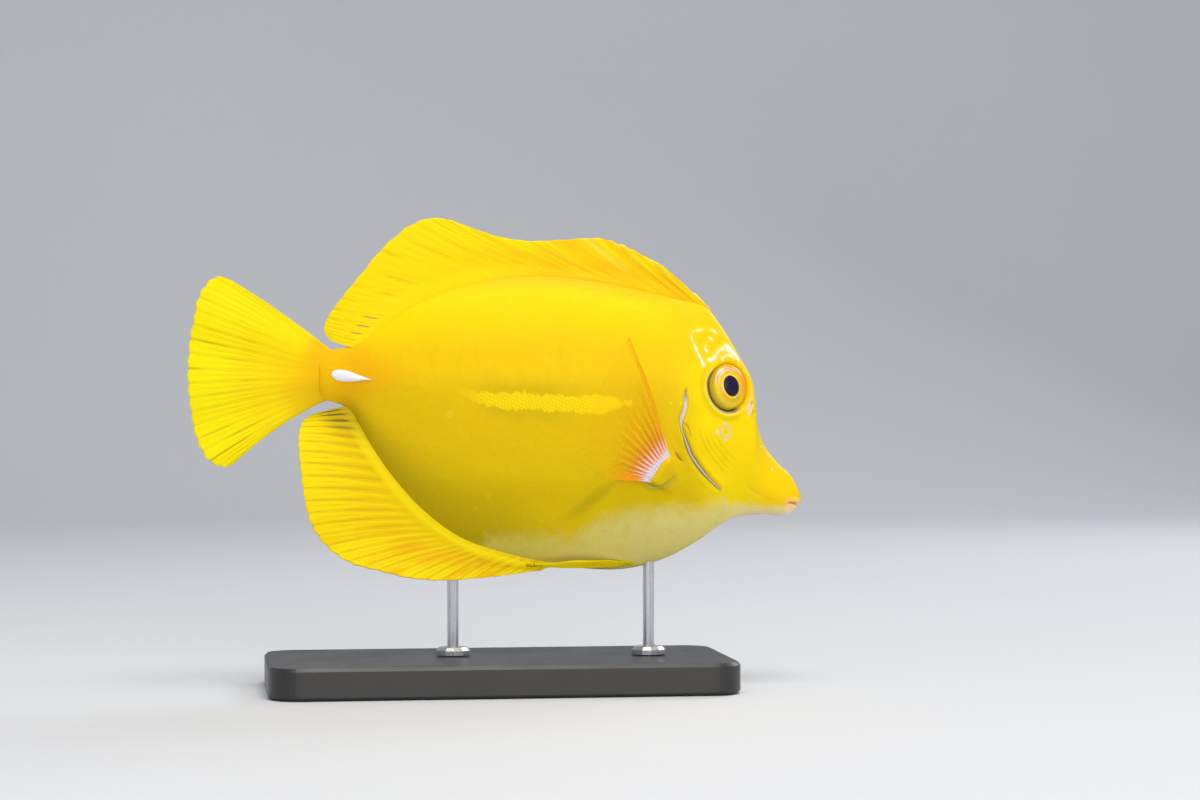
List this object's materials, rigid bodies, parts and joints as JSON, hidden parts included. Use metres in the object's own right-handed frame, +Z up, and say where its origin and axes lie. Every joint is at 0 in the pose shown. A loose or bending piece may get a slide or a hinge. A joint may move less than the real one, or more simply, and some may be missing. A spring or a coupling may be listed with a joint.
{
  "type": "yellow tang fish model on stand",
  "caption": "Life-size still model of a deep-bodied, thin yellow reef fish with sail fins, long snout and white tail spines, held by two rods on a flat display base",
  "frame": {"origin": "on the underside of the display base, under the middle of the whole model's box", "axes": "+X the way the fish heads, +Y its left side, +Z up; its middle plane is Y = 0"},
  "size_m": [0.1603, 0.056, 0.1219],
  "materials": {
    "skin": "satin, like wet scaled skin",
    "fin": "satin, slightly see-through membrane",
    "eye": "high gloss",
    "pupil": "high gloss",
    "spine": "satin",
    "base": "satin black",
    "rod": "brushed"
  },
  "bodies": {
    "root": {"head": "skin", "snout": "skin", "lower_jaw": "skin", "torso": "skin", "tail_stem": "skin", "dorsal_fin": "fin", "anal_fin": "fin", "caudal_fin": "fin", "pectoral_fin_right": "fin", "pectoral_fin_left": "fin", "pelvic_fin_right": "fin", "pelvic_fin_left": "fin", "eye_right": "eye", "eye_left": "eye", "pupil_right": "pupil", "pupil_left": "pupil", "tail_spine_right": "spine", "tail_spine_left": "spine", "stand_base": "base", "stand_rod_front": "rod", "stand_rod_rear": "rod"}
  },
  "joints": []
}
